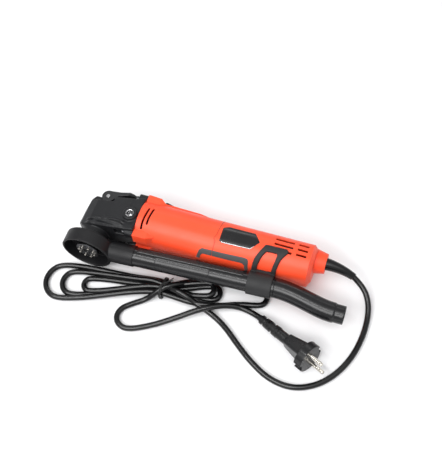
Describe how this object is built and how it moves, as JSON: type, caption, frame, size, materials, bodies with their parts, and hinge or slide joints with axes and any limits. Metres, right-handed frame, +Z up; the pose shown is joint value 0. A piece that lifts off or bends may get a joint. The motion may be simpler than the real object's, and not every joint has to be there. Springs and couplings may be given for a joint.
{
  "type": "oscillating multi tool",
  "caption": "Corded oscillating multi tool with quick clamp lever, dust hood, tube and hose outlet, its lead tied in a hank and ending in a two-pin plug.",
  "frame": {"origin": "centre of the tool's footprint, on the floor that it lies on, measured without the cord and plug", "axes": "+X along the motor from the gear head to the cord entry, +Y from the tool holder to the clamp lever, +Z up, away from the side it lies on"},
  "size_m": [0.3979, 0.1734, 0.063],
  "materials": {
    "head_paint": "satin black paint on a die casting",
    "steel": "turned steel",
    "dark_steel": "hardened black steel",
    "pin_steel": "bright plated pins",
    "lever_black": "moulded black",
    "seal_rubber": "soft black",
    "laminations": "stacked sheet steel",
    "copper": "copper",
    "aluminium": "cast aluminium",
    "nylon": "moulded nylon",
    "carbon": "pressed carbon",
    "red_plastic": "semi-gloss moulded shell",
    "label_film": "black film with a plain silver line",
    "grip_rubber": "soft overmould",
    "black_plastic": "fine moulded grain",
    "tube_plastic": "semi-gloss moulded tube",
    "circuit_board": "printed board",
    "cord_rubber": "smooth black rubber sheath",
    "tie_wire": "coated wire",
    "plug_plastic": "moulded plug"
  },
  "bodies": {
    "housing": {"gear_head": "head_paint", "side_handle_inserts": "steel", "spindle_bearing_lower": "steel", "spindle_bearing_upper": "steel", "bearing_circlip": "steel", "lever_pin": "steel", "motor_bearing_front": "steel", "motor_bearing_rear": "steel", "cover_screws": "steel", "cord_clamp_screws": "steel", "brush_springs": "steel", "gear_head_screws": "dark_steel", "hood_clamp_screw": "dark_steel", "plug_pins": "pin_steel", "spindle_seal": "seal_rubber", "stator_core": "laminations", "field_coils": "copper", "motor_bearing_plate": "aluminium", "fan_baffle": "nylon", "brush_holders": "nylon", "power_switch": "nylon", "cord_clamp": "nylon", "dial_potentiometer": "nylon", "carbon_brushes": "carbon", "motor_housing": "red_plastic", "rear_cover_left": "red_plastic", "rear_cover_right": "red_plastic", "label_plate_left": "label_film", "label_plate_right": "label_film", "soft_grip_left": "grip_rubber", "soft_grip_right": "grip_rubber", "dust_hood": "black_plastic", "strap_clip": "black_plastic", "dust_tube": "tube_plastic", "outlet_elbow": "tube_plastic", "speed_board": "circuit_board", "cord_guard": "cord_rubber", "inner_cord": "cord_rubber", "cord_lead": "cord_rubber", "cord_hank": "cord_rubber", "cord_tail": "cord_rubber", "cord_tie": "tie_wire", "plug_boot": "plug_plastic", "plug_body": "plug_plastic"},
    "spindle": {"spindle": "dark_steel", "fork_lever": "dark_steel", "tool_flange": "dark_steel", "flange_pins": "pin_steel"},
    "clamp_rod": {"clamp_rod": "dark_steel"},
    "clamp_lever": {"clamp_lever": "lever_black"},
    "rotor": {"rotor_shaft": "steel", "eccentric_bush": "steel", "eccentric_bearing": "steel", "cooling_fan": "nylon", "armature_core": "laminations", "armature_windings": "copper", "commutator": "copper"},
    "switch": {"slide_switch_knob": "black_plastic", "switch_rod": "nylon"},
    "dial": {"speed_dial": "black_plastic"}
  },
  "joints": [
    {"name": "spindle_swing", "type": "hinge", "parent": "housing", "child": "spindle", "pos_m": [-0.14425, 0.013, 0.0315], "axis": [0, 1, 0], "range_deg": [-1.6, 1.6]},
    {"name": "clamp_slide", "type": "slide", "parent": "spindle", "child": "clamp_rod", "axis": [0, -1, 0], "range_m": [0, 0.003]},
    {"name": "lever_open", "type": "hinge", "parent": "housing", "child": "clamp_lever", "pos_m": [-0.14325, 0.0295, 0.0315], "axis": [0, 0, 1], "range_deg": [0, 120]},
    {"name": "rotor_spin", "type": "hinge", "parent": "housing", "child": "rotor", "pos_m": [-0.14425, 0.013, 0.0315], "axis": [1, 0, 0], "continuous": true},
    {"name": "switch_slide", "type": "slide", "parent": "housing", "child": "switch", "axis": [1, 0, 0], "range_m": [0, 0.007]},
    {"name": "dial_turn", "type": "hinge", "parent": "housing", "child": "dial", "pos_m": [0.09175, 0.031, 0.0315], "axis": [0, 0, 1], "range_deg": [-135, 135]}
  ],
  "couplings": [
    {"joint": "clamp_slide", "follows": "lever_open", "m_per_rad": 0.00143}
  ]
}
